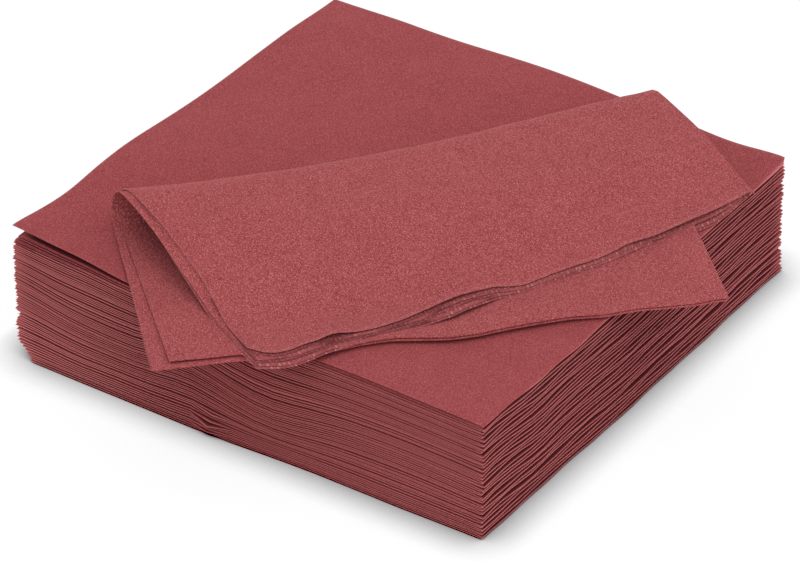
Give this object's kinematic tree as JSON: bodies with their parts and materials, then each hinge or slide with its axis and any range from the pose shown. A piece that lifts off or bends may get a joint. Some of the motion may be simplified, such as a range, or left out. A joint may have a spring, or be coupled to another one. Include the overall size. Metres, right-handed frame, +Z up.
{
  "type": "stack of paper napkins",
  "caption": "Square pile of quarter-folded tissue napkins with one more napkin softly bent over in half and laid skewed across the top.",
  "frame": {"origin": "middle of the pile's underside", "axes": "+Z up out of the pile, +X towards the side with the second fold, -Y towards the side with the first fold"},
  "size_m": [0.1897, 0.1966, 0.0548],
  "materials": {
    "tissue": "matt dyed tissue with a fine grain and a dotted embossed border"
  },
  "bodies": {
    "root": {"napkin_01": "tissue", "napkin_02": "tissue", "napkin_03": "tissue", "napkin_04": "tissue", "napkin_05": "tissue", "napkin_06": "tissue", "napkin_07": "tissue", "napkin_08": "tissue", "napkin_09": "tissue", "napkin_10": "tissue", "napkin_11": "tissue", "napkin_12": "tissue", "napkin_13": "tissue", "napkin_14": "tissue", "napkin_15": "tissue", "napkin_16": "tissue", "napkin_17": "tissue", "napkin_18": "tissue", "napkin_19": "tissue", "napkin_20": "tissue", "napkin_21": "tissue", "napkin_22": "tissue", "napkin_23": "tissue", "napkin_24": "tissue", "napkin_25": "tissue", "napkin_26": "tissue", "napkin_27": "tissue", "napkin_28": "tissue", "napkin_29": "tissue", "napkin_30": "tissue", "loose_napkin": "tissue"}
  },
  "joints": []
}
